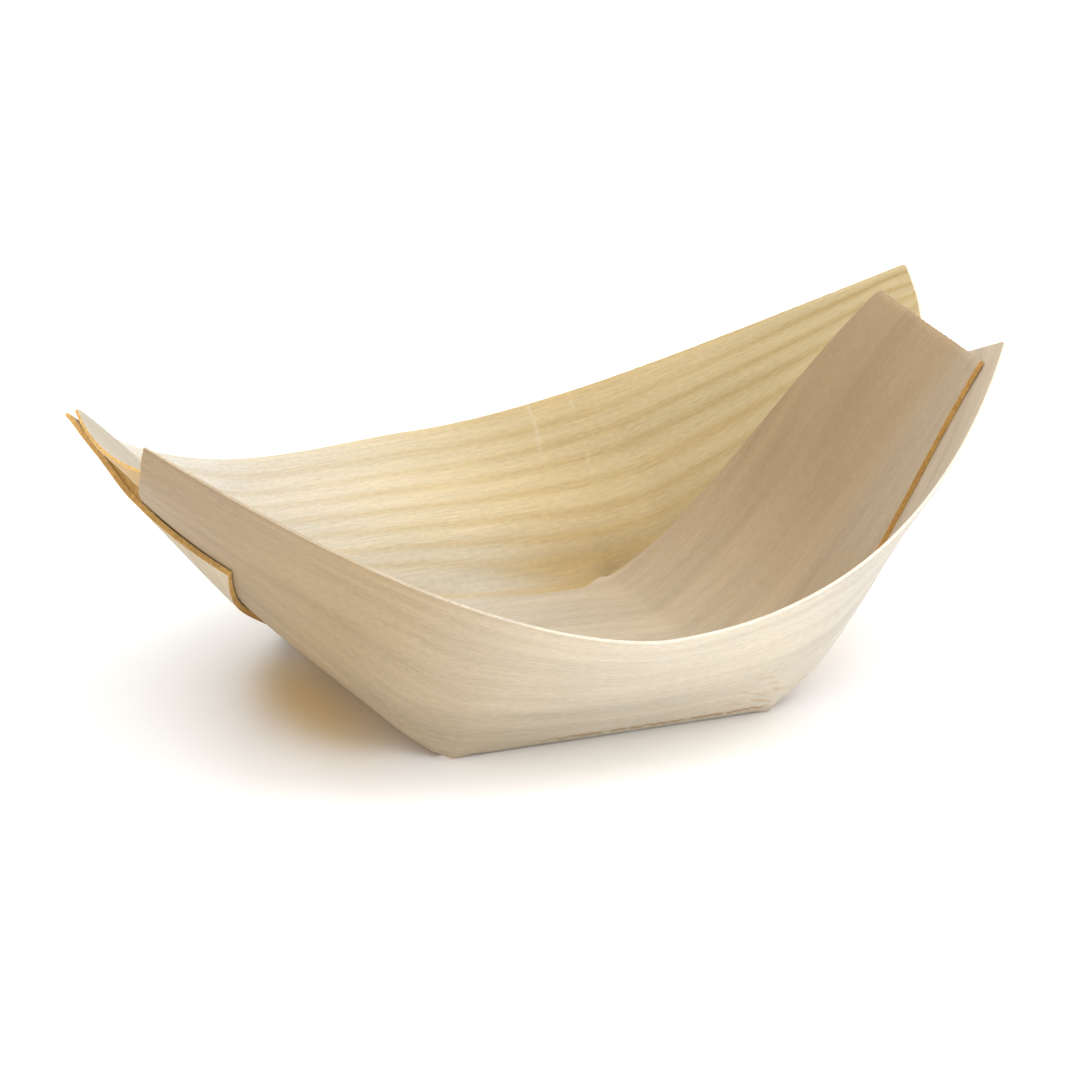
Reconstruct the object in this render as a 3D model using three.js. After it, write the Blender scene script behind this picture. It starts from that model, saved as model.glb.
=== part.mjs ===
// Wooden snack boat: one sheet of pine veneer, slit twice at each end, folded up and glued.
// Millimetres, +Z up. X runs along the boat, Y to the back, and the underside lies on z = 0.
import * as THREE from "three";

// The sheet and its glue
const veneer = 0.7; // thickness of the sheet
const glueFilm = 0.15; // thickness of a glue film
const glueClearance = 0.17; // between a film and each sheet that it joins
const seam = 0.3; // gap where two panels of the sheet meet at a crease

// The floor and the two side walls
const floorLength = 41.8; // between the slits of the two ends
const floorWidth = 50.8; // between the two side creases
const frontWallRise = 18; // from the floor to the rim at mid length
const backWallRise = 16.7;
const wallLean = 17.6; // how far the rim stands out from the crease at mid length

// The tongue that stands up at each end, between the two slits
const tabLength = 50.4; // from its crease to its top edge
const leftTabTopWidth = 25;
const rightTabTopWidth = 30;
const slitGap = 0.6; // cut away along each side of the tongue
const creaseRun = 2.5; // how far the bend reaches to each side of the crease
const leftTabSlope = 45.5; // degrees above the floor
const rightTabSlope = 47.7; // degrees above the floor
const leftTabBow = 1.5; // how far the side edges curl up at the top
const rightTabBow = 0.5;
const bowRun = 30; // length above the crease over which a tongue takes on its bow
const leftTabSag = 1.8; // how far a tongue hangs below a straight line at a third of its length
const rightTabSag = 2.4;
const leftTabSwell = 0; // how far each side edge stands out from a straight taper at half length
const rightTabSwell = 0.8;

// The four flaps, each wrapped round under its tongue
const foldRound = 3; // how far the turn round the tongue's edge is spread out to each side
const liftStart = 0.15; // share of a flap over which it takes on the tongue's bow and sag
const layerRun = 2.5; // length over which a flap steps down by one layer
const leftLapDrop = 17.4; // from the tongue's top edge down to the flap's slit corner
const leftLapReach = 13; // how far that corner lies past the centre line
const rightLapDrop = 9.4;
const rightLapReach = 6;

// The four tips, measured from the top corner of the tongue
const leftFrontTip = { beyond: 3.2, outside: 1, above: 3.7 };
const leftBackTip = { beyond: 0.2, outside: 1, above: 0.4 };
const rightFrontTip = { beyond: 3.5, outside: 0.6, above: -0.1 };
const rightBackTip = { beyond: 4.3, outside: 0.9, above: -0.3 };

// How a flap turns round the tongue: how far outside its edge, the most that it climbs there as a
// share of the way to the rim, how far it rises towards the tongue beside the inner flap, and over
// what length
const leftFrontTurn = { outside: 1, climb: 0.88, tuck: 0, tuckRun: 4 };
const leftBackTurn = { outside: 1, climb: 1, tuck: 1.1, tuckRun: 13 };
const rightFrontTurn = { outside: 0.6, climb: 1, tuck: 1.15, tuckRun: 4 };
const rightBackTurn = { outside: 1, climb: 1, tuck: 0, tuckRun: 4 };
const tuckClearance = 1.5; // between the inner flap's edge and the start of that rise

// How late the rim turns inwards and upwards on its way to a tip, as powers of the share covered
const leftFrontRim = { inwardsPower: 2.6, upwardsPower: 1.5 };
const leftBackRim = { inwardsPower: 1.6, upwardsPower: 2.55 };
const rightFrontRim = { inwardsPower: 2.7, upwardsPower: 2 };
const rightBackRim = { inwardsPower: 2.5, upwardsPower: 2 };

// The lap glued under each tongue, as shares of the flap along the slit edge and away from it
const filmFrom = 0.72; // share along
const filmTo = 0.96; // share along
const filmNear = 0.03; // share away
const filmFar = 0.16; // share away

// Facets along and across each kind of sheet
const wallSteps = [14, 1];
const tabSteps = [16, 6];
const flapSteps = [20, 24];
const filmSteps = [10, 6];

// Worked out from the sizes above
const half = veneer / 2;
const creaseX = floorLength / 2;
const creaseY = floorWidth / 2;
const layerPitch = veneer + glueFilm + 2 * glueClearance;
const floorHalfWidth = creaseY - half - seam / 2;
const degree = Math.PI / 180;
const sagPeak = 27 / 4; // brings the curve of a sag to 1 at its lowest point

const left = {
  side: -1,
  slope: leftTabSlope * degree,
  topWidth: leftTabTopWidth,
  bow: leftTabBow,
  sag: leftTabSag,
  swell: leftTabSwell,
  lapDrop: leftLapDrop,
  lapReach: leftLapReach,
};
const right = {
  side: 1,
  slope: rightTabSlope * degree,
  topWidth: rightTabTopWidth,
  bow: rightTabBow,
  sag: rightTabSag,
  swell: rightTabSwell,
  lapDrop: rightLapDrop,
  lapReach: rightLapReach,
};

// The back flap lies outermost at the left end, and the front flap at the right end.
const leftFront = {
  end: left,
  side: -1,
  rise: frontWallRise,
  layer: 1,
  tip: leftFrontTip,
  turn: leftFrontTurn,
  rim: leftFrontRim,
};
const leftBack = {
  end: left,
  side: 1,
  rise: backWallRise,
  layer: 2,
  tip: leftBackTip,
  turn: leftBackTurn,
  rim: leftBackRim,
};
const rightFront = {
  end: right,
  side: -1,
  rise: frontWallRise,
  layer: 2,
  tip: rightFrontTip,
  turn: rightFrontTurn,
  rim: rightFrontRim,
};
const rightBack = {
  end: right,
  side: 1,
  rise: backWallRise,
  layer: 1,
  tip: rightBackTip,
  turn: rightBackTurn,
  rim: rightBackRim,
};

const pine = new THREE.MeshStandardMaterial({ color: 0xe3cda6, roughness: 0.75, metalness: 0 });
const glue = new THREE.MeshStandardMaterial({ color: 0xd8c08a, roughness: 0.4, metalness: 0 });

// A point measured from the middle of a tongue's crease: up its slope, across it and above its face
function tabPoint(end, along, across, above) {
  const cos = Math.cos(end.slope);
  const sin = Math.sin(end.slope);
  const x = creaseX + along * cos - above * sin;
  const z = half + along * sin + above * cos;
  return new THREE.Vector3(end.side * x, across, z);
}

// The same three measures of a given point
function onTab(end, point) {
  const cos = Math.cos(end.slope);
  const sin = Math.sin(end.slope);
  const x = end.side * point.x - creaseX;
  const z = point.z - half;
  return new THREE.Vector3(x * cos + z * sin, point.y, z * cos - x * sin);
}

// A point on a curve that two coinciding control points draw close round a bend
function bent(from, control, to, part) {
  const rest = 1 - part;
  const point = from.clone().multiplyScalar(rest ** 3);
  point.addScaledVector(control, 3 * part * rest);
  return point.addScaledVector(to, part ** 3);
}

// A point on a line that is folded at a corner and rounded there
function folded(from, corner, to, part) {
  const back = from.clone().sub(corner);
  const ahead = to.clone().sub(corner);
  const before = back.length();
  const after = ahead.length();
  const round = Math.min(foldRound, before / 2, after / 2);
  const reached = part * (before + after) - before;
  back.normalize();
  ahead.normalize();
  if (Math.abs(reached) >= round) {
    return corner.clone().addScaledVector(reached > 0 ? ahead : back, Math.abs(reached));
  }
  const turned = (reached + round) / (2 * round);
  const point = corner.clone().addScaledVector(back, round * (1 - turned) ** 2);
  return point.addScaledVector(ahead, round * turned ** 2);
}

// Half the width of a tongue at a distance above its crease
function tabHalfWidth(end, along) {
  const part = (along + creaseRun) / (tabLength + creaseRun);
  const taper = THREE.MathUtils.lerp(floorHalfWidth - slitGap, end.topWidth / 2, part);
  return taper + end.swell * 4 * part * Math.max(0, 1 - part);
}

// How far a tongue's bow and sag lift it off its straight slope
function tabLift(end, along, across) {
  const reach = Math.min(Math.abs(across), tabHalfWidth(end, along));
  const bow = end.bow * (reach / (end.topWidth / 2)) ** 2;
  const part = THREE.MathUtils.clamp(along / tabLength, 0, 1);
  const sag = end.sag * sagPeak * part * (1 - part) ** 2;
  return bow * THREE.MathUtils.smoothstep(along, 0, bowRun) - sag;
}

// The rim of one side, from mid length at 0 to the tip at 1
function rimPoint(flap, part) {
  const spread = flap.end.topWidth / 2 + flap.tip.outside;
  const tip = tabPoint(flap.end, tabLength + flap.tip.beyond, flap.side * spread, flap.tip.above);
  const midY = flap.side * (creaseY + wallLean);
  const midZ = half + flap.rise;
  const y = THREE.MathUtils.lerp(midY, tip.y, part ** flap.rim.inwardsPower);
  const z = THREE.MathUtils.lerp(midZ, tip.z, part ** flap.rim.upwardsPower);
  return new THREE.Vector3(tip.x * part, y, z);
}

// How far along its rim a flap begins, straight above the slit's end
function rimStart(flap) {
  return creaseX / Math.abs(rimPoint(flap, 1).x);
}

// A wall: straight lines from the crease up to the rim, between the two flaps of its side
function wallSurface(leftFlap, rightFlap) {
  const reach = creaseX - seam / 2;
  return (u, v) => {
    const x = (2 * u - 1) * reach;
    const flap = x < 0 ? leftFlap : rightFlap;
    const tipX = Math.abs(rimPoint(flap, 1).x);
    const foot = new THREE.Vector3(x, flap.side * creaseY, half);
    return foot.lerp(rimPoint(flap, Math.abs(x) / tipX), v);
  };
}

// How far a flap is lifted with the tongue and, past the edge of the inner flap, in towards it
function flapLift(flap, along, across) {
  const end = flap.end;
  const pastCorner = Math.max(0, along - tabLength + end.lapDrop);
  const endEdge = (end.topWidth / 2 + end.lapReach) / end.lapDrop;
  const start = end.lapReach + tuckClearance - pastCorner * endEdge;
  const rise = THREE.MathUtils.smoothstep(flap.side * across, start, start + flap.turn.tuckRun);
  return tabLift(end, along, across) + flap.turn.tuck * rise;
}

// Where a flap turns: just outside the tongue's edge, or at its own slit edge where that lies outside
function turnPoint(flap, slitEdge, rim) {
  const edge = tabHalfWidth(flap.end, slitEdge.x) + flap.turn.outside;
  const inside = Math.max(0, edge - flap.side * slitEdge.y);
  const outside = Math.max(0, flap.side * rim.y - edge);
  const climb = Math.min(inside / (inside + outside), flap.turn.climb);
  const along = THREE.MathUtils.lerp(slitEdge.x, rim.x, climb);
  const across = Math.max(tabHalfWidth(flap.end, along) + flap.turn.outside, flap.side * slitEdge.y);
  return new THREE.Vector3(along, flap.side * across, slitEdge.z);
}

// A flap: from its slit edge under the tongue, round the tongue's side and up to the rim
function flapSurface(flap) {
  const end = flap.end;
  const cornerAlong = tabLength - end.lapDrop;
  const depth = flap.layer * layerPitch;
  const from = rimStart(flap);
  return (u, v) => {
    const part = THREE.MathUtils.lerp(seam / cornerAlong, 1, u);
    const follow = THREE.MathUtils.smoothstep(part, 0, liftStart);
    const along = part * cornerAlong;
    const across = flap.side * THREE.MathUtils.lerp(creaseY, -end.lapReach, part);
    const step = Math.min(1, along / (layerRun * flap.layer));
    const below = depth * (1 - (1 - step) ** 2);
    const slitEdge = new THREE.Vector3(along, across, -below);
    const rim = onTab(end, rimPoint(flap, THREE.MathUtils.lerp(from, 1, part)));
    rim.z -= follow * flapLift(flap, rim.x, rim.y);
    const place = folded(slitEdge, turnPoint(flap, slitEdge, rim), rim, v);
    return tabPoint(end, place.x, place.y, place.z + follow * flapLift(flap, place.x, place.y));
  };
}

// A tongue: bent up from the floor, narrowing and curling up towards its top edge
function tabSurface(end) {
  const start = tabPoint(end, 0, 0, 0);
  start.x -= end.side * creaseRun;
  const crease = tabPoint(end, 0, 0, 0);
  return (u, v) => {
    const along = THREE.MathUtils.lerp(-creaseRun, tabLength, u);
    const across = (2 * v - 1) * tabHalfWidth(end, along);
    const stop = tabPoint(end, creaseRun, 0, tabLift(end, creaseRun, across));
    const bend = bent(start, crease, stop, (along + creaseRun) / (2 * creaseRun));
    const point = along < creaseRun ? bend : tabPoint(end, along, 0, tabLift(end, along, across));
    point.y = across;
    return point;
  };
}

// A glue film on the inner face of a flap, along its slit edge
function filmSurface(flap) {
  const face = flapSurface(flap);
  const lift = half + glueClearance + glueFilm / 2;
  const up = tabPoint(flap.end, 0, 0, lift).sub(tabPoint(flap.end, 0, 0, 0));
  return (u, v) => {
    const along = THREE.MathUtils.lerp(filmFrom, filmTo, u);
    const away = THREE.MathUtils.lerp(filmNear, filmFar, v);
    return face(along, away).add(up);
  };
}

function normalAt(surface, u, v) {
  const step = 1e-3;
  const alongU = surface(u + step, v).sub(surface(u - step, v));
  const alongV = surface(u, v + step).sub(surface(u, v - step));
  return alongU.cross(alongV).normalize();
}

// A closed sheet of even thickness laid over a surface
function sheet(name, material, thickness, steps, surface) {
  const geometry = new THREE.BoxGeometry(1, 1, thickness, ...steps, 1);
  const position = geometry.getAttribute("position");
  const flat = new THREE.Vector3();
  for (let i = 0; i < position.count; i += 1) {
    flat.fromBufferAttribute(position, i);
    const u = flat.x + 0.5;
    const v = flat.y + 0.5;
    const point = surface(u, v).addScaledVector(normalAt(surface, u, v), flat.z);
    position.setXYZ(i, point.x, point.y, point.z);
  }
  geometry.computeVertexNormals();
  const mesh = new THREE.Mesh(geometry, material);
  mesh.name = name;
  return mesh;
}

function floorPanel() {
  const length = 2 * (creaseX - creaseRun - seam);
  const mesh = new THREE.Mesh(new THREE.BoxGeometry(length, 2 * floorHalfWidth, veneer), pine);
  mesh.position.z = half;
  mesh.name = "floor_panel";
  return mesh;
}

const boat = new THREE.Group();
boat.add(floorPanel());
boat.add(sheet("front_wall", pine, veneer, wallSteps, wallSurface(leftFront, rightFront)));
boat.add(sheet("back_wall", pine, veneer, wallSteps, wallSurface(leftBack, rightBack)));
boat.add(sheet("left_end_tab", pine, veneer, tabSteps, tabSurface(left)));
boat.add(sheet("right_end_tab", pine, veneer, tabSteps, tabSurface(right)));

const flaps = {
  front_left: leftFront,
  front_right: rightFront,
  back_left: leftBack,
  back_right: rightBack,
};
for (const [place, flap] of Object.entries(flaps)) {
  boat.add(sheet(`${place}_flap`, pine, veneer, flapSteps, flapSurface(flap)));
  boat.add(sheet(`${place}_flap_glue`, glue, glueFilm, filmSteps, filmSurface(flap)));
}

export default boat;
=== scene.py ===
import math

import bpy
import numpy as np
from mathutils import Matrix, Vector, noise


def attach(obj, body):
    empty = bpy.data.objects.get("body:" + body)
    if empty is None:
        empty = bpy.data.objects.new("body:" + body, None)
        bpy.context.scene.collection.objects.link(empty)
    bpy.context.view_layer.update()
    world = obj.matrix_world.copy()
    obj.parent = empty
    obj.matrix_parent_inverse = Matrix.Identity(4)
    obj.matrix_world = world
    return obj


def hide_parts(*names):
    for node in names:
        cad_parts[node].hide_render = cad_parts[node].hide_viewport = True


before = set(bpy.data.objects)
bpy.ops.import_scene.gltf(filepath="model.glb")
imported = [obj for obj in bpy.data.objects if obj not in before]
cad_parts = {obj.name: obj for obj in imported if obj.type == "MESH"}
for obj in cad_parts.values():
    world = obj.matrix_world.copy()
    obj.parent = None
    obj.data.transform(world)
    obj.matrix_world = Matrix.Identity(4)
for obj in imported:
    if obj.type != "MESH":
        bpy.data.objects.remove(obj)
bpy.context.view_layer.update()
print("frame loaded:", len(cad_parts), "nodes")

mm = 0.001  # sizes below are in millimetres, meshes in metres
degree = math.pi / 180

# The sheet of veneer and how it is cut and folded
blank = dict(
    thickness=0.7,
    floorLength=41.8,
    floorWidth=50.8,
    wallRise=dict(front=18.0, back=16.7),
    wallLean=17.6,
    tongueLength=50.4,
    slitGap=0.25,
    slitTear=2.0,  # how far a slit has torn on along the crease
    creaseRun=2.5,
    bowRun=30.0,  # length over which a tongue takes on its bow
    creaseRound=dict(front=1.3, back=3.5),  # how far the fold between floor and wall is spread out
    seam=0.1,
)
half = blank["thickness"] / 2
creaseX = blank["floorLength"] / 2
creaseY = blank["floorWidth"] / 2
floorHalfWidth = creaseY - half - blank["seam"] / 2
wallWidth = math.hypot(blank["wallRise"]["front"], blank["wallLean"])

# The two ends; side is -1 at the left and 1 at the right
leftEnd = dict(
    side=-1, slope=45.5 * degree, topWidth=25.0, bow=1.5,
    sag=1.8, swell=0.0, lapDrop=17.4, lapReach=13.0,
)
rightEnd = dict(
    side=1, slope=47.7 * degree, topWidth=30.0, bow=0.5,
    sag=2.4, swell=0.8, lapDrop=9.4, lapReach=6.0,
)
sagPeak = 27 / 4  # brings the sag's curve to a greatest depth of one

# How every flap passes under its tongue
bend = dict(
    round=3.0,
    easeRun=5.0,  # run of the bend above a slit's end
    liftStart=0.15,
    layerRun=2.5,
    layerPitch=0.86,
    tuckClearance=1.5,
    flareRise=0.55,  # share of the end edge that a flare takes up
)

# The four flaps: the tip is measured from the tongue's top corner, the turn from its side edge.
# The flare carries the end edge on past the tip.
flaps = dict(
    leftFront=dict(end=leftEnd, side=-1, layer=1, beyond=3.2, outside=1.0, above=3.7,
                   turnOut=1.0, climb=0.88, tuck=0.0, tuckRun=4.0, inwards=2.6, upwards=1.5, flare=0.0),
    leftBack=dict(end=leftEnd, side=1, layer=2, beyond=0.2, outside=1.0, above=0.4,
                  turnOut=1.0, climb=1.0, tuck=0.55, tuckRun=13.0, inwards=1.6, upwards=2.55, flare=0.0),
    rightFront=dict(end=rightEnd, side=-1, layer=2, beyond=3.5, outside=0.6, above=-0.1,
                    turnOut=0.6, climb=1.0, tuck=0.8, tuckRun=4.0, inwards=2.7, upwards=2.0, flare=0.0),
    rightBack=dict(end=rightEnd, side=1, layer=1, beyond=4.3, outside=0.9, above=-0.3,
                   turnOut=1.0, climb=1.0, tuck=0.0, tuckRun=4.0, inwards=2.5, upwards=2.0, flare=0.045),
)

# Steps of the fine meshes, and how ragged the cut edges are
fineness = dict(
    flapColumns=110,
    columnGrowth=1.15,  # columns widen from a flap's root to its end
    wallColumns=90,
    sideRows=64,
    rimRows=(0.99, 0.996, 1),
    tongueColumns=110,
    tongueEndColumns=(0.25, 0.1),
    floorColumns=70,
    floorRows=56,
    easeSteps=15,
)
ragged = dict(rim=0.12, rimPitch=0.9, ends=0.3, endPitch=0.5, seed=11.0)
edgeTaper = dict(width=0.7, thinned=0.45)  # how a sheet thins out towards its rim


def lerp(a, b, part):
    return a + (b - a) * part


def smoothstep(low, high, value):
    part = np.clip((value - low) / (high - low), 0, 1)
    return part * part * (3 - 2 * part)


def points(x, y, z):
    return np.stack(np.broadcast_arrays(x, y, z), axis=-1).astype(float)


def bent(start, control, stop, part):
    part = np.asarray(part, float)[..., None]
    rest = 1 - part
    return start * rest**3 + control * (3 * part * rest) + stop * part**3


# A line folded at a corner and rounded there
def folded(start, corner, stop, part):
    before = np.linalg.norm(corner - start, axis=-1)
    after = np.linalg.norm(stop - corner, axis=-1)
    spread = np.minimum(bend["round"], np.minimum(before, after) / 2)
    reached = part * (before + after) - before
    tiny = 1e-9
    toStart = (start - corner) / (before + tiny)[..., None]
    toStop = (stop - corner) / (after + tiny)[..., None]
    turned = np.clip((reached + spread) / (2 * spread + tiny), 0, 1)[..., None]
    rounded = corner + spread[..., None] * (toStart * (1 - turned) ** 2 + toStop * turned**2)
    straight = corner + toStart * np.maximum(-reached, 0)[..., None]
    straight = straight + toStop * np.maximum(reached, 0)[..., None]
    return np.where((np.abs(reached) < spread)[..., None], rounded, straight)


# A place on a tongue: up its slope, across it, above its inner face
def tonguePoint(end, along, across, above):
    cos, sin = math.cos(end["slope"]), math.sin(end["slope"])
    x = creaseX + along * cos - above * sin
    z = half + along * sin + above * cos
    return points(end["side"] * x, across, z)


def onTongue(end, place):
    cos, sin = math.cos(end["slope"]), math.sin(end["slope"])
    x = end["side"] * place[..., 0] - creaseX
    z = place[..., 2] - half
    return points(x * cos + z * sin, place[..., 1], z * cos - x * sin)


def tongueHalfWidth(end, along):
    run = blank["creaseRun"]
    part = (along + run) / (blank["tongueLength"] + run)
    taper = lerp(floorHalfWidth - blank["slitGap"], end["topWidth"] / 2, part)
    return taper + end["swell"] * 4 * part * np.maximum(0, 1 - part)


# How far bow and sag lift a tongue off its straight slope
def tongueLift(end, along, across):
    reach = np.minimum(np.abs(across), tongueHalfWidth(end, along))
    bow = end["bow"] * (reach / (end["topWidth"] / 2)) ** 2
    part = np.clip(along / blank["tongueLength"], 0, 1)
    return bow * smoothstep(0, blank["bowRun"], along) - end["sag"] * sagPeak * part * (1 - part) ** 2


# The rim from mid length (part 0) to a tip (part 1)
def rimTip(flap):
    end = flap["end"]
    spread = flap["side"] * (end["topWidth"] / 2 + flap["outside"])
    return tonguePoint(end, blank["tongueLength"] + flap["beyond"], spread, flap["above"])


def rimPoint(flap, part):
    tip = rimTip(flap)
    midY = flap["side"] * (creaseY + blank["wallLean"])
    midZ = half + blank["wallRise"]["front" if flap["side"] < 0 else "back"]
    y = lerp(midY, tip[1], part ** flap["inwards"])
    z = lerp(midZ, tip[2], part ** flap["upwards"])
    return points(tip[0] * part, y, z)


# How much of the rounded fold is left towards the ends of the floor
def foldShare(x):
    return 1 - smoothstep(0.75, 1.0, np.abs(x) / creaseX)


def wallPoint(leftFlap, rightFlap, x, rise):
    onLeft = rimPoint(leftFlap, np.abs(x) / abs(rimTip(leftFlap)[0]))
    onRight = rimPoint(rightFlap, np.abs(x) / abs(rimTip(rightFlap)[0]))
    rim = np.where((x < 0)[..., None], onLeft, onRight)
    side = rightFlap["side"]
    foot = points(x, side * creaseY, half)
    straight = foot + (rim - foot) * rise[..., None]
    radius = blank["creaseRound"]["front" if side < 0 else "back"]
    upTo = radius / wallWidth
    onFloor = points(x, side * (creaseY - radius), half)
    part = np.clip(rise / upTo, 0, 1)
    rounded = bent(onFloor, foot, foot + (rim - foot) * upTo, part)
    weight = np.where(rise < upTo, foldShare(x), 0.0)[..., None]
    return straight + (rounded - straight) * weight


# How far a flap is lifted with the tongue and, past the edge of the inner flap, in towards it
def flapLift(flap, along, across):
    end = flap["end"]
    pastCorner = np.maximum(0, along - blank["tongueLength"] + end["lapDrop"])
    endEdge = (end["topWidth"] / 2 + end["lapReach"]) / end["lapDrop"]
    start = end["lapReach"] + bend["tuckClearance"] - pastCorner * endEdge
    tuck = flap["tuck"] * smoothstep(start, start + flap["tuckRun"], flap["side"] * across)
    return tongueLift(end, along, across) + tuck


# Where a flap turns: just outside the tongue's edge, or at its own slit edge where that lies outside
def turnPoint(flap, slitEdge, rim):
    end, side = flap["end"], flap["side"]
    edge = tongueHalfWidth(end, slitEdge[..., 0]) + flap["turnOut"]
    inside = np.maximum(0, edge - side * slitEdge[..., 1])
    outside = np.maximum(0, side * rim[..., 1] - edge)
    climb = np.minimum(inside / (inside + outside), flap["climb"])
    along = lerp(slitEdge[..., 0], rim[..., 0], climb)
    across = np.maximum(tongueHalfWidth(end, along) + flap["turnOut"], side * slitEdge[..., 1])
    return points(along, side * across, slitEdge[..., 2])


def flapPoint(flap, part, rise):
    end = flap["end"]
    follow = smoothstep(0, bend["liftStart"], part)
    along = part * (blank["tongueLength"] - end["lapDrop"])
    across = flap["side"] * lerp(creaseY, -end["lapReach"], part)
    step = np.minimum(1, along / (bend["layerRun"] * flap["layer"]))
    below = flap["layer"] * bend["layerPitch"] * (1 - (1 - step) ** 2)
    slitEdge = points(along, across, -below)
    rimStart = creaseX / abs(rimTip(flap)[0])
    rim = onTongue(end, rimPoint(flap, lerp(rimStart, 1, part)))
    rim[..., 2] -= follow * flapLift(flap, rim[..., 0], rim[..., 1])
    place = folded(slitEdge, turnPoint(flap, slitEdge, rim), rim, rise)
    lift = follow * flapLift(flap, place[..., 0], place[..., 1])
    return tonguePoint(end, place[..., 0], place[..., 1], place[..., 2] + lift)


# Small uneven bites along a cut edge, always inwards
def bites(places, pitch, depth, row):
    values = []
    for place in np.ravel(places):
        coarse = noise.noise(Vector((place / pitch, row, ragged["seed"])))
        fine = noise.noise(Vector((place / pitch * 3.7, row + 5, ragged["seed"])))
        values.append(depth * (0.5 + 0.35 * coarse + 0.25 * fine))
    return np.clip(np.reshape(values, np.shape(places)), 0, depth * 1.2)


# Half the thickness at a distance from the rim
def tapered(toRim):
    return half * (1 - edgeTaper["thinned"] * (1 - smoothstep(0, edgeTaper["width"], toRim)))


# The bend above each slit's end, spread out along the sheet but for its foot
def eased(place, u, rises):
    spread = np.linspace(-bend["easeRun"], bend["easeRun"], fineness["easeSteps"])
    weights = np.cos(spread / bend["easeRun"] * math.pi / 2) ** 2
    mean = np.zeros_like(place)
    for shift, weight in zip(spread, weights / weights.sum()):
        for row in range(place.shape[1]):
            for axis in range(3):
                mean[:, row, axis] += weight * np.interp(u + shift, u, place[:, row, axis])
    toCrease = np.abs(np.abs(u) - creaseX)
    near = 1 - smoothstep(0.4 * bend["easeRun"], 1.6 * bend["easeRun"], toCrease)
    share = near[:, None] * smoothstep(0.03, 0.35, rises)
    return place + (mean - place) * share[..., None]


# A whole side: left flap, wall and right flap in one piece
def sideSurface(leftFlap, rightFlap):
    row = 1.0 if leftFlap["side"] < 0 else 2.0
    slitLength = blank["tongueLength"]
    flapParts = np.linspace(0, 1, fineness["flapColumns"] + 1) ** fineness["columnGrowth"]
    leftU = -creaseX - flapParts[::-1] * slitLength
    wallU = np.linspace(-creaseX, creaseX, fineness["wallColumns"] + 1)[1:-1]
    rightU = creaseX + flapParts * slitLength
    u = np.concatenate([leftU, wallU, rightU])
    v = np.concatenate([np.linspace(0, 1, fineness["sideRows"] + 1)[:-1], fineness["rimRows"]])
    uu, vv = np.meshgrid(u, v, indexing="ij")
    rise = vv * (1 - bites(u, ragged["rimPitch"], ragged["rim"], row)[:, None] / wallWidth)
    endBite = 1 - bites(v * wallWidth, ragged["endPitch"], ragged["ends"], row + 10)[None, :] / slitLength
    part = np.clip((np.abs(uu) - creaseX) / slitLength, 0, 1) * endBite
    flare = np.where(uu < 0, leftFlap["flare"], rightFlap["flare"])
    aboveFlare = np.maximum(0, 1 - (1 - vv) / bend["flareRise"])
    part = part + flare * part**3 * (1 - aboveFlare**2)
    onLeft = flapPoint(leftFlap, part, rise)
    onRight = flapPoint(rightFlap, part, rise)
    onWall = wallPoint(leftFlap, rightFlap, uu, rise)
    place = np.where((uu <= -creaseX)[..., None], onLeft, onWall)
    place = np.where((uu >= creaseX)[..., None], onRight, place)
    place = eased(place, u, vv)
    topWidth = np.where(uu < 0, leftEnd["topWidth"], rightEnd["topWidth"])
    slitY = lerp(creaseY, topWidth / 2, np.clip((np.abs(uu) - creaseX) / slitLength, 0, 1))
    flat = points(uu, leftFlap["side"] * lerp(slitY, creaseY + wallWidth, vv), 0)
    return place, flat, tapered((1 - vv) * wallWidth)


# The floor with its two tongues in one piece
def floorEdge(u, v):
    x = np.minimum(np.abs(u), creaseX)
    rounds = blank["creaseRound"]
    return creaseY - foldShare(x) * np.where(v < 0, rounds["front"], rounds["back"])


def stripSurface():
    length = blank["tongueLength"]
    run = blank["creaseRun"]
    tongueU = np.linspace(creaseX - run, creaseX + length, fineness["tongueColumns"] + 1)
    tongueU = np.insert(tongueU, -1, creaseX + length - np.array(fineness["tongueEndColumns"]))
    floorU = np.linspace(-(creaseX - run), creaseX - run, fineness["floorColumns"] + 1)[1:-1]
    u = np.concatenate([-tongueU[::-1], floorU, tongueU])
    v = np.linspace(-1, 1, fineness["floorRows"] + 1)
    uu, vv = np.meshgrid(u, v, indexing="ij")
    place = points(uu, 0, half)
    halfWidth = floorEdge(uu, vv)
    for end in (leftEnd, rightEnd):
        along = end["side"] * uu - creaseX
        across = v * end["topWidth"] / 2
        endBite = bites(across, ragged["endPitch"], ragged["ends"], 20.0 + end["side"])[None, :]
        near = np.where(along > 0, along * (1 - endBite / length), along)
        width = lerp(halfWidth, tongueHalfWidth(end, near), smoothstep(-blank["slitTear"], -0.6, along))
        halfWidth = np.where(end["side"] * uu > 0, width, halfWidth)
        onSlope = tonguePoint(end, near, 0, tongueLift(end, near, vv * halfWidth))
        start = tonguePoint(end, 0, 0, 0) - [end["side"] * run, 0, 0]
        crease = tonguePoint(end, 0, 0, 0)
        stop = tonguePoint(end, run, 0, tongueLift(end, run, vv * halfWidth))
        bending = bent(start, crease, stop, np.clip((near + run) / (2 * run), 0, 1))
        onEnd = np.where((near < run)[..., None], bending, onSlope)
        place = np.where((along > -run)[..., None], onEnd, place)
    place[..., 1] = vv * halfWidth
    flat = points(uu, vv * halfWidth, 0)
    return place, flat, tapered(creaseX + length - np.abs(uu))


def gridNormals(place):
    alongU = np.gradient(place, axis=0)
    alongV = np.gradient(place, axis=1)
    normal = np.cross(alongU, alongV)
    return normal / np.linalg.norm(normal, axis=-1, keepdims=True)


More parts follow.
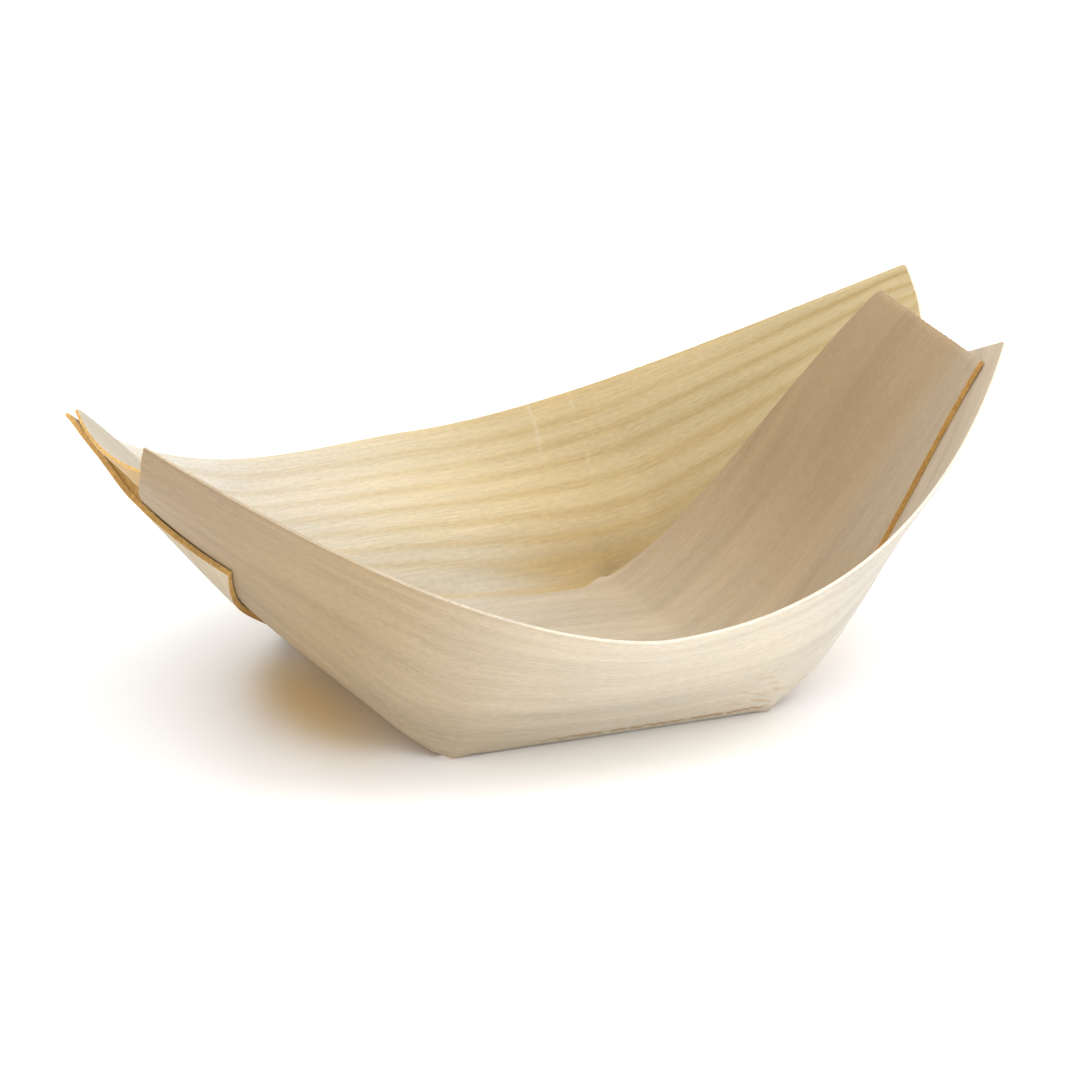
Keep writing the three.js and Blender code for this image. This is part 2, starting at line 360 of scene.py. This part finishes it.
# A closed sheet over a grid of places; borders holds a material index for each of its four edges
def veneerPiece(name, place, flat, depth, facing, borders, materials):
    normal = gridNormals(place) * facing
    columns, rows = place.shape[:2]
    count = columns * rows
    inner = place + normal * depth[..., None]
    outer = place - normal * depth[..., None]
    verts = np.concatenate([inner.reshape(-1, 3), outer.reshape(-1, 3)]) * mm
    index = np.arange(count).reshape(columns, rows)
    a, b, c, d = index[:-1, :-1], index[1:, :-1], index[1:, 1:], index[:-1, 1:]
    quads = np.stack([a, b, c, d], axis=-1).reshape(-1, 4)
    if facing < 0:
        quads = quads[:, ::-1]
    under = quads[:, ::-1] + count
    loop = [index[:, 0], index[-1, :], index[::-1, -1], index[0, ::-1]]
    rims, kinds = [], []
    for border, kind in zip(loop, borders):
        first, second = border[:-1], border[1:]
        rim = np.stack([first, first + count, second + count, second], axis=-1)
        rims.append(rim if facing > 0 else rim[:, ::-1])
        kinds.append(np.full(len(rim), kind))
    faces = np.concatenate([quads, under] + rims)
    kinds = np.concatenate([np.zeros(2 * len(quads), int)] + kinds)
    mesh = bpy.data.meshes.new(name)
    mesh.from_pydata(verts.tolist(), [], faces.tolist())
    for material in materials:
        mesh.materials.append(material)
    mesh.polygons.foreach_set("material_index", kinds.astype(np.int32))
    mesh.polygons.foreach_set("use_smooth", np.ones(len(faces), bool))
    grain = np.concatenate([flat.reshape(-1, 3), flat.reshape(-1, 3)])
    grain[:count, 2], grain[count:, 2] = 1, -1
    layer = mesh.attributes.new("grain", "FLOAT_VECTOR", "POINT")
    layer.data.foreach_set("vector", grain.astype(np.float32).ravel())
    mesh.update()
    mesh.set_sharp_from_angle(angle=50 * degree)
    piece = bpy.data.objects.new(name, mesh)
    bpy.context.collection.objects.link(piece)
    return piece


# Shader maths: a socket that takes part in Python expressions
class Shade:
    def __init__(self, tree, socket=None):
        self.tree = tree
        self.socket = socket

    def node(self, kind, settings, links, out=0):
        made = self.tree.nodes.new(kind)
        for key, value in settings.items():
            setattr(made, key, value)
        for key, value in links.items():
            if isinstance(value, Shade):
                self.tree.links.new(value.socket, made.inputs[key])
            else:
                made.inputs[key].default_value = value
        return Shade(self.tree, made.outputs[out]) if made.outputs else made

    def maths(self, operation, *values):
        return self.node("ShaderNodeMath", {"operation": operation}, dict(enumerate(values)))

    def __add__(self, other):
        return self.maths("ADD", self, other)

    def __radd__(self, other):
        return self.maths("ADD", other, self)

    def __sub__(self, other):
        return self.maths("SUBTRACT", self, other)

    def __rsub__(self, other):
        return self.maths("SUBTRACT", other, self)

    def __mul__(self, other):
        return self.maths("MULTIPLY", self, other)

    def __rmul__(self, other):
        return self.maths("MULTIPLY", other, self)

    def __truediv__(self, other):
        return self.maths("DIVIDE", self, other)

    def __pow__(self, other):
        return self.maths("POWER", self, other)

    def step(self, low, high):
        settings = {"interpolation_type": "SMOOTHSTEP"}
        return self.node("ShaderNodeMapRange", settings, {0: self, 1: low, 2: high})

    def axis(self, name):
        return self.node("ShaderNodeSeparateXYZ", {}, {0: self}, out=name)

    def noise(self, x, y, z, detail):
        vector = self.node("ShaderNodeCombineXYZ", {}, {0: x, 1: y, 2: z})
        return self.node("ShaderNodeTexNoise", {}, {"Vector": vector, "Scale": 1.0, "Detail": detail})

    def blend(self, share, first, second):
        return self.node("ShaderNodeMix", {"data_type": "RGBA"}, {0: share, 6: first, 7: second}, out=2)

    def dimmed(self, color, value):
        return self.node("ShaderNodeHueSaturation", {}, {"Color": color, "Value": value})


def newMaterial(name):
    material = bpy.data.materials.new(name)
    material.use_nodes = True
    tree = material.node_tree
    tree.nodes.clear()
    return material, Shade(tree)


# What all raw wood and glue share: a dull surface that lets a little light in
surface = dict(specular=0.3, scatter=0.25, scatterRadius=(1.0, 0.6, 0.3), scatterScale=0.0008)


def finishMaterial(shade, color, roughness, height, bumpDepth):
    bump = shade.node("ShaderNodeBump", {}, {"Height": height, "Strength": 1.0, "Distance": bumpDepth})
    links = {
        "Base Color": color,
        "Roughness": roughness,
        "Normal": bump,
        "Specular IOR Level": surface["specular"],
        "Subsurface Weight": surface["scatter"],
        "Subsurface Radius": surface["scatterRadius"],
        "Subsurface Scale": surface["scatterScale"],
    }
    shader = shade.node("ShaderNodeBsdfPrincipled", {}, links)
    shade.node("ShaderNodeOutputMaterial", {}, {"Surface": shader})


# Raw pine, in linear colour and millimetres of the flat sheet
pine = dict(
    spacing=2.5,  # between grain lines
    tightening=0.22,  # how much closer the lines lie at the right
    sharpness=1.8,
    fleck=(0.42, 0.26, 0.11, 1),
    fleckShare=0.24,
    roughness=0.62,
    bumpDepth=0.00003,
)

# Unevenness of the wood: scale along the grain, scale across it, seed and detail
grains = dict(
    drift=(0.012, 0.05, 3.0, 2.0),
    pitch=(0.003, 0.16, 7.0, 2.0),
    patches=(0.02, 0.05, 11.0, 2.0),
    fibres=(0.12, 4.0, 2.0, 3.0),
    blotches=(0.03, 0.11, 17.0, 4.0),
    dashes=(0.5, 6.0, 23.0, 2.0),
    tears=(0.3, 1.5, 47.0, 3.0),
    streaks=(0.018, 0.38, 53.0, 3.0),
    specks=(0.9, 2.6, 59.0, 2.0),
)
unevenness = dict(fibres=0.34, blotches=0.3, specks=0.32)  # share of each in the brightness


def grain(shade, name, along, across):
    stretch, squeeze, seed, detail = grains[name]
    return shade.noise(along * stretch, across * squeeze, seed, detail)


# Pale lines pressed into the back where it bends, at places along it
pressed = dict(
    places=(16.9, 22.4),
    width=0.45,
    rise=(0.45, 0.75),
    wander=0.9,
    color=(0.72, 0.67, 0.57, 1),
    share=0.17,
)


def pressedMarks(shade, color, along, across):
    rise = (across - creaseY) / wallWidth
    for place in pressed["places"]:
        wander = (shade.noise(across * 0.35, place, 31.0, 2.0) - 0.5) * pressed["wander"]
        off = shade.maths("ABSOLUTE", along - place + wander)
        broken = shade.noise(across * 0.5, place, 37.0, 2.0).step(0.38, 0.62)
        share = (1 - off.step(0.0, pressed["width"])) * rise.step(*pressed["rise"]) * broken
        color = shade.blend(share * pressed["share"], color, pressed["color"])
    return color


# The crack along the front crease, fading in from the left and ending sharply at the right
crack = dict(
    above=1.4,
    wander=1.3,
    width=(0.03, 0.32),
    start=-12.0,
    fade=8,
    stop=20.5,
    color=(0.38, 0.21, 0.07, 1),
    share=0.75,
)


def creaseCrack(shade, color, along, across):
    wander = (shade.noise(along * 0.8, 5.0, 41.0, 4.0) - 0.5) * crack["wander"]
    off = shade.maths("ABSOLUTE", 0 - across - creaseY - crack["above"] + wander)
    begun = along.step(crack["start"], crack["start"] + crack["fade"])
    ended = along.step(crack["stop"] - 1, crack["stop"])
    broken = shade.noise(along * 0.45, 9.0, 43.0, 3.0).step(0.36, 0.5)
    share = (1 - off.step(*crack["width"])) * begun * (1 - ended) * broken
    return shade.blend(share * crack["share"], color, crack["color"])


# Fibres torn open at the front's right lower corner
torn = dict(place=(19.5, 5.0), reach=(1.0, 7.0), slant=0.5, color=(0.46, 0.29, 0.10, 1), share=0.5)


def tornFibres(shade, color, along, across):
    right, up = torn["place"]
    x, y = along - right, 0 - across - creaseY - up
    near = 1 - shade.maths("SQRT", x * x + y * y).step(*torn["reach"])
    tears = grain(shade, "tears", along, y + x * torn["slant"]).step(0.53, 0.66)
    return shade.blend(tears * near * torn["share"], color, torn["color"])


# The front's ends: painted shade at the left end, which lies in shade; the right end darker and greyer
# too
dull = dict(
    leftSpan=(-62, -40),
    left=(0.365, 0.27, 0.168, 1),
    rightSpan=(15, 32),
    right=(0.555, 0.51, 0.44, 1),
)


def paintedEndShade(shade, color, along, across):
    color = shade.blend(along.step(*dull["leftSpan"]), dull["left"], color)
    return shade.blend(along.step(*dull["rightSpan"]), color, dull["right"])


# The back's foot: the floor's tone where it meets the floor, and at the right, in the corner by the right
# tongue, darker: painted shade
backFootToneAndShade = dict(
    left=(0.40, 0.356, 0.278, 1),
    right=(0.30, 0.21, 0.09, 1),
    span=(2, 18),
    height=12,
)


def footToneAndShade(shade, color, along, across):
    tone = shade.blend(along.step(*backFootToneAndShade["span"]), backFootToneAndShade["left"], backFootToneAndShade["right"])
    return shade.blend(across.step(creaseY - 1, creaseY + backFootToneAndShade["height"]), tone, color)


# The paler front edge of the right tongue
paler = dict(across=(4, 14), along=(30, 50), color=(0.40, 0.335, 0.25, 1), share=0.5)


def palerEdge(shade, color, along, across):
    share = (0 - across).step(*paler["across"]) * along.step(*paler["along"])
    return shade.blend(share * paler["share"], color, paler["color"])


# Each piece of the sheet: its tone and line strength at the left and at the right of a span,
# the tone of its other face, tints that go under the grain lines, painted shade among them, and marks
# that go over them
# Front: the dark tan at the left is painted shade, the near white at the right painted light
frontLook = dict(
    inside=False,
    left=(0.43, 0.322, 0.187, 1),
    right=(0.635, 0.572, 0.458, 1),
    span=(-44, 5),
    other=(0.45, 0.37, 0.27, 1),
    line=(0.42, 0.28, 0.13, 1),
    lines=(0.14, 0.1),
    bands=0.5,
    tints=[paintedEndShade],
    marks=[creaseCrack, tornFibres],
)
# Back: towards the right the wood is yellower and darker, the darkening painted shade
backLook = dict(
    inside=True,
    left=(0.565, 0.53, 0.455, 1),
    right=(0.51, 0.405, 0.22, 1),
    span=(-42, 24),
    other=(0.54, 0.45, 0.32, 1),
    line=(0.38, 0.255, 0.085, 1),
    lines=(0.24, 0.75),
    bands=0.14,
    tints=[footToneAndShade],
    marks=[pressedMarks],
)
# Floor and tongues: darker than the back, painted shade inside the hull; the dark taupe at the right
# partly the wood's own tone, partly painted shade on the right tongue
stripLook = dict(
    inside=True,
    left=(0.40, 0.356, 0.278, 1),
    right=(0.335, 0.235, 0.128, 1),
    span=(-15, 52),
    other=(0.55, 0.36, 0.15, 1),
    line=(0.30, 0.205, 0.10, 1),
    lines=(0.2, 0.12),
    bands=0.3,
    tints=[palerEdge],
    marks=[],
)


# Grain lines from 0 to 1, as wavy bands that run along the sheet
def grainLines(shade, along, across, toRight):
    toRim = creaseY + wallWidth - shade.maths("ABSOLUTE", across)
    drift = grain(shade, "drift", along, across)
    pitch = grain(shade, "pitch", along, across)
    turns = toRim * (1 - toRight * pine["tightening"]) / pine["spacing"] + drift * 1.2 + pitch * 0.9
    wave = shade.maths("COSINE", turns * (2 * math.pi)) * 0.5 + 0.5
    return wave ** pine["sharpness"]


def lineStrength(shade, look, along, across, toRight):
    low, high = look["lines"]
    patches = grain(shade, "patches", along, across).step(0.3, 0.7)
    return (toRight * toRight * (high - low) + low) * (patches * 0.6 + 0.4)


# Brightness of the wood, about 1 on average
def uneven(shade, look, fibres, along, across):
    value = fibres * unevenness["fibres"] + (1 - sum(unevenness.values()) / 2 - look["bands"] / 2)
    for name in ("blotches", "specks"):
        value = value + grain(shade, name, along, across) * unevenness[name]
    return value + grain(shade, "streaks", along, across) * look["bands"]


def pineShade(name, look):
    material, shade = newMaterial(name)
    place = shade.node("ShaderNodeAttribute", {"attribute_name": "grain"}, {}, out="Vector")
    along, across, face = (place.axis(name) for name in "XYZ")
    toRight = along.step(*look["span"])
    tone = shade.blend(toRight, look["left"], look["right"])
    for tint in look["tints"]:
        tone = tint(shade, tone, along, across)
    shown = face if look["inside"] else 0 - face
    tone = shade.blend(shown.step(-0.2, 0.2), look["other"], tone)
    lines = grainLines(shade, along, across, toRight)
    color = shade.blend(lines * lineStrength(shade, look, along, across, toRight), tone, look["line"])
    dashes = grain(shade, "dashes", along, across).step(0.66, 0.76)
    color = shade.blend(dashes * pine["fleckShare"], color, pine["fleck"])
    for mark in look["marks"]:
        color = mark(shade, color, along, across)
    fibres = grain(shade, "fibres", along, across)
    color = shade.dimmed(color, uneven(shade, look, fibres, along, across))
    roughness = fibres * 0.2 + (pine["roughness"] - 0.1)
    finishMaterial(shade, color, roughness, fibres * 0.7 + lines * 0.3, pine["bumpDepth"])
    return material


# Cut edges: the rim pale, slits and end grain browned by the knife; tones at the left and at the right:
# at the left the rim is darker, painted shade, and the cut edges brighter and golden, painted light
rimLook = dict(left=(0.44, 0.36, 0.25, 1), right=(0.68, 0.63, 0.54, 1), mottle=0.2, roughness=0.75)
cutLook = dict(left=(0.68, 0.42, 0.14, 1), right=(0.54, 0.31, 0.09, 1), mottle=0.3, roughness=0.8)
# Glue, bright orange: partly painted shade in the gaps it fills
glueAndGapShadeLook = dict(left=(0.86, 0.55, 0.17, 1), right=(0.86, 0.55, 0.17, 1), mottle=0.28, roughness=0.4)
edgeGrain = dict(fine=2600.0, broad=260.0, span=(-0.045, 0.005), bumpDepth=0.00004)


def edgeShade(name, look):
    material, shade = newMaterial(name)
    place = shade.node("ShaderNodeTexCoord", {}, {}, out="Object")
    noiseLinks = {"Vector": place, "Scale": edgeGrain["fine"], "Detail": 3.0}
    fine = shade.node("ShaderNodeTexNoise", {}, noiseLinks)
    noiseLinks = {"Vector": place, "Scale": edgeGrain["broad"], "Detail": 2.0}
    broad = shade.node("ShaderNodeTexNoise", {}, noiseLinks)
    share = (fine * 0.6 + broad * 0.4).step(0.36, 0.66)
    # Painted shade on the rim and painted light on the cut edges towards the left end
    tone = shade.blend(place.axis("X").step(*edgeGrain["span"]), look["left"], look["right"])
    color = shade.dimmed(tone, 1 - share * look["mottle"])
    finishMaterial(shade, color, fine * 0.2 + (look["roughness"] - 0.1), fine, edgeGrain["bumpDepth"])
    return material


rimEdge = edgeShade("pineRim", rimLook)
cutEdge = edgeShade("pineCut", cutLook)
glueAndGapShade = edgeShade("glueAndGapShade", glueAndGapShadeLook)
print("materials made")

# The three sheets: facing says which side is inside, edges are slit edge, right end, rim and left end
stripGrid = stripSurface()
frontGrid = sideSurface(flaps["leftFront"], flaps["rightFront"])
backGrid = sideSurface(flaps["leftBack"], flaps["rightBack"])
rimKind, cutKind = 1, 2  # places in a sheet's list of materials
sheets = dict(
    floor_and_tongues=dict(
        grid=stripGrid,
        facing=1,
        edges=(cutKind, rimKind, cutKind, cutKind),
        wood=pineShade("pineStrip", stripLook),
        nodes=("floor_panel", "left_end_tab", "right_end_tab"),
    ),
    front_side=dict(
        grid=frontGrid,
        facing=-1,
        edges=(cutKind, rimKind, rimKind, rimKind),
        wood=pineShade("pineFront", frontLook),
        nodes=("front_wall", "front_left_flap", "front_right_flap"),
    ),
    back_side=dict(
        grid=backGrid,
        facing=1,
        edges=(cutKind, rimKind, rimKind, cutKind),
        wood=pineShade("pineBack", backLook),
        nodes=("back_wall", "back_left_flap", "back_right_flap"),
    ),
)
for name, sheet in sheets.items():
    materials = [sheet["wood"], rimEdge, cutEdge]
    piece = veneerPiece(name, *sheet["grid"], sheet["facing"], sheet["edges"], materials)
    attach(piece, "root")
    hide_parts(*sheet["nodes"])
    print("veneer folded:", name, len(piece.data.polygons), "faces")

# Glue squeezed out between the left tongue and the flap under it, filling the gap; its bright orange
# partly paints the warm shade in the gap. Sizes as shares of the flap
squeezed = dict(
    flap=flaps["leftBack"],
    along=(0.9, 0.985),
    rise=(0.42, 0.82),
    steps=(14, 40),
    thinnest=0.04,
)


def gapGlueAndShade():
    flap = squeezed["flap"]
    end = flap["end"]
    part = np.linspace(*squeezed["along"], squeezed["steps"][0])[:, None]
    rise = np.linspace(*squeezed["rise"], squeezed["steps"][1])[None, :]
    under = onTongue(end, flapPoint(flap, *np.broadcast_arrays(part, rise)))
    above = tongueLift(end, under[..., 0], under[..., 1]) - half
    below = under[..., 2] + half
    thickness = np.maximum(above - below, squeezed["thinnest"])
    place = tonguePoint(end, under[..., 0], under[..., 1], (above + below) / 2)
    return place, under, thickness / 2


bead = veneerPiece("gap_glue_and_shade", *gapGlueAndShade(), -1, (0, 0, 0, 0), [glueAndGapShade])
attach(bead, "root")

# Loose fibres along the cut edges; sizes in millimetres, follow says how far they keep to the path
rimFibres = dict(spacing=0.45, length=0.9, width=0.07, spread=0.28, lean=(0, 0, 0.1))
rimColumns = slice(12, -12)
frontX = frontGrid[1][:, 0, 0]
creaseColumns = np.flatnonzero((frontX > crack["start"]) & (frontX < crack["stop"]))
fibreLooks = dict(
    front_rim_fibres=dict(rimFibres, path=frontGrid[0][rimColumns, -2], follow=1.0, seed=3),
    back_rim_fibres=dict(rimFibres, path=backGrid[0][rimColumns, -2], follow=-1.0, seed=5),
    crease_fibres=dict(
        path=frontGrid[0][creaseColumns, 2], follow=1.0, seed=7,
        spacing=0.5, length=1.4, width=0.09, spread=0.3, lean=(0, -0.55, 0.1),
    ),
    tongue_fibres=dict(
        path=stripGrid[0][-2, 2:-2], follow=0.0, seed=9,
        spacing=0.4, length=0.5, width=0.07, spread=0.25, lean=(0.67, 0, 0.74),
    ),
)


def makeFibreTree():
    tree = bpy.data.node_groups.new("edgeFibres", "GeometryNodeTree")
    kinds = dict(Path="Geometry", Spacing="Float", Length="Float", Width="Float", Spread="Float",
                 Follow="Float", Lean="Vector", Seed="Int", Wood="Material")
    for name, kind in kinds.items():
        tree.interface.new_socket(name, in_out="INPUT", socket_type="NodeSocket" + kind)
    tree.interface.new_socket("Fibres", in_out="OUTPUT", socket_type="NodeSocketGeometry")
    given = tree.nodes.new("NodeGroupInput").outputs

    def node(kind, settings, links, out=0):
        made = tree.nodes.new(kind)
        for key, value in settings.items():
            setattr(made, key, value)
        for key, value in links.items():
            if isinstance(value, bpy.types.NodeSocket):
                tree.links.new(value, made.inputs[key])
            else:
                made.inputs[key].default_value = value
        return made.outputs[out]

    def vector(operation, links):
        return node("ShaderNodeVectorMath", {"operation": operation}, links)

    curve = node("GeometryNodeMeshToCurve", {}, {"Mesh": given["Path"]})
    spotLinks = {"Curve": curve, "Length": given["Spacing"]}
    spots = node("GeometryNodeCurveToPoints", {"mode": "LENGTH"}, spotLinks)
    tangent = spots.node.outputs["Tangent"]
    unit = {"Min": (-1, -1, -1), "Max": (1, 1, 1), "Seed": given["Seed"]}
    jitter = node("FunctionNodeRandomValue", {"data_type": "FLOAT_VECTOR"}, unit)
    scattered = vector("SCALE", {0: jitter, "Scale": given["Spread"]})
    onPath = vector("SCALE", {0: tangent, "Scale": given["Follow"]})
    leaning = vector("ADD", {0: onPath, 1: given["Lean"]})
    heading = vector("ADD", {0: leaning, 1: scattered})
    turn = node("FunctionNodeAlignRotationToVector", {"axis": "Z"}, {"Vector": heading})
    reaches = {2: 0.3, 3: 1.0, "Seed": given["Seed"]}
    reach = node("FunctionNodeRandomValue", {"data_type": "FLOAT"}, reaches, 1)
    size = node("ShaderNodeCombineXYZ", {}, {0: 1.0, 1: 1.0, 2: reach})
    shape = {"Vertices": 5, "Radius Top": 0.0, "Radius Bottom": given["Width"], "Depth": given["Length"]}
    fibre = node("GeometryNodeMeshCone", {}, shape)
    placing = {"Points": spots, "Instance": fibre, "Rotation": turn, "Scale": size}
    placed = node("GeometryNodeInstanceOnPoints", {}, placing)
    real = node("GeometryNodeRealizeInstances", {}, {0: placed})
    finished = node("GeometryNodeSetMaterial", {}, {"Geometry": real, "Material": given["Wood"]})
    tree.links.new(finished, tree.nodes.new("NodeGroupOutput").inputs[0])
    return tree


def makeFibres(name, look, tree):
    path = look["path"] * mm
    mesh = bpy.data.meshes.new(name)
    mesh.from_pydata(path.tolist(), [(i, i + 1) for i in range(len(path) - 1)], [])
    piece = bpy.data.objects.new(name, mesh)
    bpy.context.collection.objects.link(piece)
    modifier = piece.modifiers.new("fibres", "NODES")
    modifier.node_group = tree
    values = dict(
        Spacing=look["spacing"] * mm,
        Length=look["length"] * mm,
        Width=look["width"] / 2 * mm,
        Spread=look["spread"],
        Follow=look["follow"],
        Lean=look["lean"],
        Seed=look["seed"],
        Wood=rimEdge,
    )
    for item in tree.interface.items_tree:
        if item.name in values:
            modifier[item.identifier] = values[item.name]
    graph = bpy.context.evaluated_depsgraph_get()
    made = bpy.data.meshes.new_from_object(piece.evaluated_get(graph))
    piece.modifiers.clear()
    piece.data = made
    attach(piece, "root")
    print("fibres grown:", name, len(made.polygons), "faces")


fibreTree = makeFibreTree()
for name, look in fibreLooks.items():
    makeFibres(name, look, fibreTree)

# The model's glue joints take the same glue material, whose orange partly paints gap shade
for name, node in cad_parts.items():
    if name.endswith("_glue"):
        node.data.materials.clear()
        node.data.materials.append(glueAndGapShade)

# Floor, sky, lights and camera
studio = dict(
    floorSize=6.0,
    floorColor=(0.93, 0.93, 0.93, 1),
    floorRoughness=0.32,
    floorGlow=0.015,
    sky=(0.22, 1.72),  # strength at the horizon and overhead
    skyRise=0.75,
)
middle = (0, 0, 0.015)

# Two softboxes, and a lamp that takes light away: the golden shade under the left end's thin veneer
lights = dict(
    keySoftbox=dict(power=4.0, size=(0.8, 0.8), place=(0.4, -0.1, 0.95), aim=middle, color=(1, 1, 1)),
    fillSoftbox=dict(power=3.2, size=(0.8, 0.8), place=(0.6, -0.85, 0.3), aim=middle, color=(1, 1, 1)),
    goldenShade=dict(
        power=-0.00038,
        size=(0.014, 0.036),
        place=(-0.0285, -0.003, 0.004),
        aim=(-0.0285, -0.003, 0),
        color=(0.42, 0.66, 1),
    ),
)
shot = dict(
    azimuth=22.6 * degree,
    elevation=20 * degree,
    distance=1.122,
    lens=300.0,
    sensor=36,
    right=0.0011,
    up=0.0158,
)


def makeFloor():
    size = studio["floorSize"] / 2
    mesh = bpy.data.meshes.new("studioFloor")
    corners = [(-size, -size, 0), (size, -size, 0), (size, size, 0), (-size, size, 0)]
    mesh.from_pydata(corners, [], [(0, 1, 2, 3)])
    material, shade = newMaterial("paleFloor")
    links = {
        "Base Color": studio["floorColor"],
        "Roughness": studio["floorRoughness"],
        "Specular IOR Level": 0.5,
        "Emission Color": (1, 1, 1, 1),
        "Emission Strength": studio["floorGlow"],
    }
    shader = shade.node("ShaderNodeBsdfPrincipled", {}, links)
    shade.node("ShaderNodeOutputMaterial", {}, {"Surface": shader})
    mesh.materials.append(material)
    floor = bpy.data.objects.new("studioFloor", mesh)
    bpy.context.collection.objects.link(floor)


def makeLight(name, look):
    data = bpy.data.lights.new(name, "AREA")
    data.shape = "ELLIPSE"
    data.size, data.size_y = look["size"]
    data.energy = look["power"]
    data.color = look["color"]
    lamp = bpy.data.objects.new(name, data)
    lamp.location = look["place"]
    aim = Vector(look["aim"]) - Vector(look["place"])
    lamp.rotation_euler = aim.to_track_quat("-Z", "Y").to_euler()
    lamp.visible_camera = False
    bpy.context.collection.objects.link(lamp)


def makeSky():
    world = bpy.data.worlds.new("studioWorld")
    world.use_nodes = True
    shade = Shade(world.node_tree)
    upwards = shade.node("ShaderNodeTexCoord", {}, {}, out="Generated").axis("Z")
    low, high = studio["sky"]
    strength = upwards.step(0.0, studio["skyRise"]) * (high - low) + low
    backdrop = world.node_tree.nodes["Background"]
    backdrop.inputs["Color"].default_value = (1, 1, 1, 1)
    world.node_tree.links.new(strength.socket, backdrop.inputs["Strength"])
    bpy.context.scene.world = world


def makeCamera():
    turn, lift = shot["azimuth"], shot["elevation"]
    away = Vector((-math.sin(turn) * math.cos(lift), -math.cos(turn) * math.cos(lift), math.sin(lift)))
    right = Vector((math.cos(turn), -math.sin(turn), 0))
    up = away.cross(right)
    data = bpy.data.cameras.new("photoCamera")
    data.lens = shot["lens"]
    data.sensor_width = shot["sensor"]
    camera = bpy.data.objects.new("photoCamera", data)
    target = right * shot["right"] + up * shot["up"]
    turned = Matrix((right, up, away)).transposed().to_4x4()
    camera.matrix_world = Matrix.Translation(target + away * shot["distance"]) @ turned
    bpy.context.collection.objects.link(camera)
    bpy.context.scene.camera = camera


makeFloor()
for name, look in lights.items():
    makeLight(name, look)
makeSky()
bpy.context.scene.view_settings.view_transform = "Standard"
makeCamera()
print("stage set")
